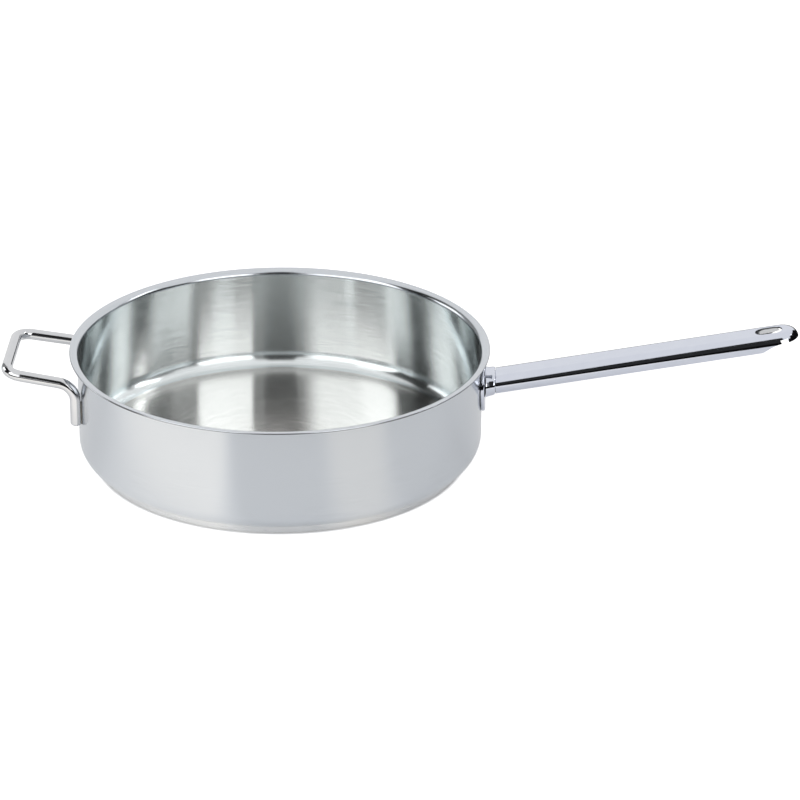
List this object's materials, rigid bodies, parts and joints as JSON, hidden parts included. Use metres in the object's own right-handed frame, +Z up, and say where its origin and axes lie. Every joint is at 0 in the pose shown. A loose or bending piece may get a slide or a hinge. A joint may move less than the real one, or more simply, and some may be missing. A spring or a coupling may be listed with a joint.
{
  "type": "saute pan",
  "caption": "Straight-sided saute pan in stainless steel with a pouring lip, a sealed heat-spreading base, a long tubular handle with hanging hole and a bent-rod helper handle.",
  "frame": {"origin": "middle of the base's underside, on the pan's axis", "axes": "+X along the long handle, +Z up out of the pan, and the helper handle on -X"},
  "size_m": [0.5511, 0.293, 0.1005],
  "materials": {
    "satin_steel": "fine satin outside, brushed round the axis inside",
    "base_steel": "fine satin",
    "core_aluminium": "plain sheet, sealed in the base",
    "polished_steel": "mirror-polished stainless steel",
    "weld_steel": "dull weld metal"
  },
  "bodies": {
    "root": {"pan_body": "satin_steel", "base_core": "core_aluminium", "base_cap": "base_steel", "handle_plate": "polished_steel", "handle_collar": "polished_steel", "handle_tube": "polished_steel", "helper_handle": "polished_steel", "plate_weld_1": "weld_steel", "plate_weld_2": "weld_steel", "plate_weld_3": "weld_steel", "plate_weld_4": "weld_steel", "helper_weld_front": "weld_steel", "helper_weld_rear": "weld_steel"}
  },
  "joints": []
}
